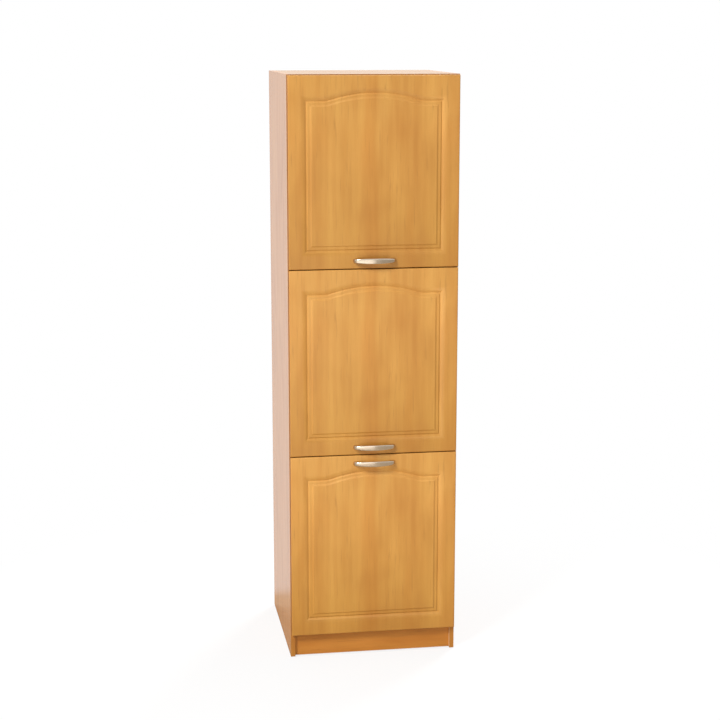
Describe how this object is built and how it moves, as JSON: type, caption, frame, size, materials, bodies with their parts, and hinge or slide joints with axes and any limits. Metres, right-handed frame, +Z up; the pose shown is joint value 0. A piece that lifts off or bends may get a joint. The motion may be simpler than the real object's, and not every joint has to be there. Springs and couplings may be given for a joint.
{
  "type": "tall storage cabinet",
  "caption": "Tall free-standing storage cabinet with stacked side-hung doors routed with arched panels, bow handles, a recessed plinth and loose shelves inside.",
  "frame": {"origin": "on the floor, under the middle of the box that encloses the whole cabinet with its handles", "axes": "+X to the right seen from the front, the doors face -Y, +Z up"},
  "size_m": [0.6, 0.618, 2.08],
  "materials": {
    "door_foil": "semi-matt alder-print foil wrapped over routed MDF",
    "side_foil": "pale semi-matt wood-print melamine on chipboard, darker edge banding",
    "inner_melamine": "matt wood-print melamine on chipboard",
    "plinth_foil": "semi-matt wood-print melamine",
    "back_hardboard": "smooth lacquered hardboard",
    "beech_wood": "plain planed beech",
    "satin_nickel": "satin nickel plate",
    "nickel_plate": "bright nickel plate on pressed steel",
    "zinc_steel": "zinc-plated steel",
    "zinc_casting": "plain zinc casting",
    "white_plastic": "extruded plastic strip",
    "dark_plastic": "moulded plastic",
    "clear_bumper": "soft clear pad"
  },
  "bodies": {
    "carcass": {"left_side": "side_foil", "right_side": "side_foil", "top_panel": "side_foil", "bottom_panel": "inner_melamine", "upper_fixed_shelf": "inner_melamine", "lower_fixed_shelf": "inner_melamine", "upper_shelf": "inner_melamine", "middle_shelf": "inner_melamine", "lower_shelf": "inner_melamine", "shelf_pins": "nickel_plate", "upper_back": "back_hardboard", "lower_back": "back_hardboard", "back_joiner": "white_plastic", "plinth_board": "plinth_foil", "plinth_dowels": "beech_wood", "corner_blocks": "beech_wood", "floor_glides": "dark_plastic", "cam_locks": "zinc_casting", "cam_bolts": "zinc_steel", "panel_dowels": "beech_wood", "wall_brackets": "zinc_steel", "bracket_screws": "zinc_steel", "door_bumpers": "clear_bumper", "hinge_plates": "nickel_plate", "hinge_plate_screws": "zinc_steel", "hinge_arms": "nickel_plate", "hinge_arm_screws": "zinc_steel"},
    "lower_door": {"lower_door": "door_foil", "lower_handle": "satin_nickel", "lower_handle_screws": "zinc_steel", "lower_hinge_cups": "nickel_plate", "lower_cup_screws": "zinc_steel", "lower_hinge_pins": "zinc_steel"},
    "lower_links": {"lower_hinge_links": "nickel_plate"},
    "middle_door": {"middle_door": "door_foil", "middle_handle": "satin_nickel", "middle_handle_screws": "zinc_steel", "middle_hinge_cups": "nickel_plate", "middle_cup_screws": "zinc_steel", "middle_hinge_pins": "zinc_steel"},
    "middle_links": {"middle_hinge_links": "nickel_plate"},
    "upper_door": {"upper_door": "door_foil", "upper_handle": "satin_nickel", "upper_handle_screws": "zinc_steel", "upper_hinge_cups": "nickel_plate", "upper_cup_screws": "zinc_steel", "upper_hinge_pins": "zinc_steel"},
    "upper_links": {"upper_hinge_links": "nickel_plate"}
  },
  "joints": [
    {"name": "lower_door_swing", "type": "hinge", "parent": "carcass", "child": "lower_door", "pos_m": [0.2935, -0.274, 0.4185], "axis": [0, 0, 1], "range_deg": [0, 105]},
    {"name": "lower_link_turn", "type": "hinge", "parent": "lower_door", "child": "lower_links", "pos_m": [0.286, -0.2675, 0.4185], "axis": [0, 0, 1], "range_deg": [-105, 0]},
    {"name": "middle_door_swing", "type": "hinge", "parent": "carcass", "child": "middle_door", "pos_m": [0.2935, -0.274, 1.0825], "axis": [0, 0, 1], "range_deg": [0, 105]},
    {"name": "middle_link_turn", "type": "hinge", "parent": "middle_door", "child": "middle_links", "pos_m": [0.286, -0.2675, 1.0825], "axis": [0, 0, 1], "range_deg": [-105, 0]},
    {"name": "upper_door_swing", "type": "hinge", "parent": "carcass", "child": "upper_door", "pos_m": [0.2935, -0.274, 1.7465], "axis": [0, 0, 1], "range_deg": [0, 105]},
    {"name": "upper_link_turn", "type": "hinge", "parent": "upper_door", "child": "upper_links", "pos_m": [0.286, -0.2675, 1.7465], "axis": [0, 0, 1], "range_deg": [-105, 0]}
  ],
  "couplings": [
    {"joint": "lower_link_turn", "follows": "lower_door_swing", "ratio": -1},
    {"joint": "middle_link_turn", "follows": "middle_door_swing", "ratio": -1},
    {"joint": "upper_link_turn", "follows": "upper_door_swing", "ratio": -1}
  ]
}
